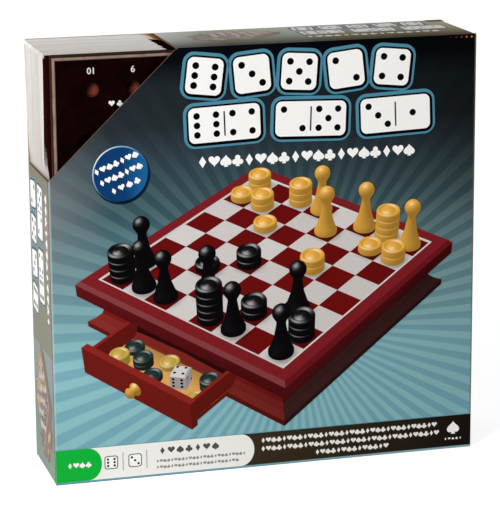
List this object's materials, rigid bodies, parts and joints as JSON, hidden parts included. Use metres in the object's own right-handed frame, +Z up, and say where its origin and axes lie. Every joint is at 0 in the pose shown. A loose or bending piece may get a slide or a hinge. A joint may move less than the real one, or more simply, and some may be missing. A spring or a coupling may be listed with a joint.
{
  "type": "boxed games compendium",
  "caption": "Upright tuck-end carton with a cut-away corner behind clear film, holding a wooden games cabinet with its boards, trays and pieces.",
  "frame": {"origin": "middle of the carton's underside", "axes": "+X across the printed face to the right, +Y from the face to the back, +Z up"},
  "size_m": [0.35, 0.084, 0.346],
  "materials": {
    "printed_board": "gloss-laminated printed fluted board",
    "raw_board": "bare kraft back of the board",
    "clear_film": "clear glossy film",
    "cabinet_wood": "burgundy satin lacquer",
    "plywood": "satin plywood",
    "felt": "black felt",
    "dark_inlay": "dark stained veneer",
    "light_inlay": "pale maple veneer",
    "pale_bead": "pale wood bead, satin",
    "brass": "satin brass",
    "dark_board": "very dark lacquered wood",
    "tray_foam": "flocked foam insert",
    "leaflet_paper": "uncoated paper",
    "dark_men_wood": "dark stained wood",
    "light_men_wood": "natural boxwood",
    "dice_plastic": "ivory plastic",
    "marble_glass": "coloured glass",
    "stick_wood": "dyed wood"
  },
  "bodies": {
    "carton": {"carton_sleeve": "printed_board", "window_film": "clear_film", "base_rail_lower": "cabinet_wood", "base_rail_right": "cabinet_wood", "base_rail_upper": "cabinet_wood", "base_rail_left": "cabinet_wood", "base_floor": "plywood", "felt_pads": "felt", "long_divider": "cabinet_wood", "cross_divider": "cabinet_wood", "backgammon_board": "plywood", "dark_points": "dark_inlay", "light_points": "light_inlay", "lid_rail_lower": "cabinet_wood", "lid_rail_right": "cabinet_wood", "lid_rail_upper": "cabinet_wood", "lid_rail_left": "cabinet_wood", "lid_bead": "pale_bead", "lid_pivot_pin": "brass", "chess_board": "dark_inlay", "light_squares": "light_inlay", "pit_board": "dark_board", "chess_tray": "tray_foam", "marble_tray": "tray_foam", "side_tray": "tray_foam", "rules_leaflet": "leaflet_paper", "dark_king": "dark_men_wood", "dark_queen": "dark_men_wood", "dark_bishops": "dark_men_wood", "dark_knights": "dark_men_wood", "dark_rooks": "dark_men_wood", "dark_pawns": "dark_men_wood", "light_king": "light_men_wood", "light_queen": "light_men_wood", "light_bishops": "light_men_wood", "light_knights": "light_men_wood", "light_rooks": "light_men_wood", "light_pawns": "light_men_wood", "dark_draughts": "dark_men_wood", "light_draughts": "light_men_wood", "dice": "dice_plastic", "marbles": "marble_glass", "pick_up_sticks": "stick_wood"},
    "left_closure": {"left_closure": "printed_board"},
    "left_tuck_tab": {"left_tuck_tab": "raw_board"},
    "left_dust_flap": {"left_dust_flap": "raw_board"},
    "right_closure": {"right_closure": "printed_board"},
    "right_tuck_tab": {"right_tuck_tab": "raw_board"},
    "right_upper_dust_flap": {"right_upper_dust_flap": "raw_board"},
    "right_lower_dust_flap": {"right_lower_dust_flap": "raw_board"}
  },
  "joints": [
    {"name": "left_closure_crease", "type": "hinge", "parent": "carton", "child": "left_closure", "pos_m": [-0.175, 0.042, 0.12], "axis": [0, 0, -1], "range_deg": [0, 180]},
    {"name": "left_tab_crease", "type": "hinge", "parent": "left_closure", "child": "left_tuck_tab", "pos_m": [-0.1735, -0.0379, 0.12], "axis": [0, 0, -1], "range_deg": [-54, 0]},
    {"name": "left_dust_crease", "type": "hinge", "parent": "carton", "child": "left_dust_flap", "pos_m": [-0.1732, 0, 0], "axis": [0, -1, 0], "range_deg": [0, 90]},
    {"name": "right_closure_crease", "type": "hinge", "parent": "carton", "child": "right_closure", "pos_m": [0.175, 0.042, 0.17], "axis": [0, 0, 1], "range_deg": [0, 180]},
    {"name": "right_tab_crease", "type": "hinge", "parent": "right_closure", "child": "right_tuck_tab", "pos_m": [0.1735, -0.0379, 0.17], "axis": [0, 0, 1], "range_deg": [-54, 0]},
    {"name": "right_upper_dust_crease", "type": "hinge", "parent": "carton", "child": "right_upper_dust_flap", "pos_m": [0.1732, 0, 0.346], "axis": [0, -1, 0], "range_deg": [0, 90]},
    {"name": "right_lower_dust_crease", "type": "hinge", "parent": "carton", "child": "right_lower_dust_flap", "pos_m": [0.1732, 0, 0], "axis": [0, 1, 0], "range_deg": [0, 90]}
  ],
  "couplings": [
    {"joint": "left_tab_crease", "follows": "left_closure_crease", "ratio": -0.3},
    {"joint": "left_dust_crease", "follows": "left_closure_crease", "ratio": 0.5},
    {"joint": "right_tab_crease", "follows": "right_closure_crease", "ratio": -0.3},
    {"joint": "right_upper_dust_crease", "follows": "right_closure_crease", "ratio": 0.5},
    {"joint": "right_lower_dust_crease", "follows": "right_closure_crease", "ratio": 0.5}
  ]
}
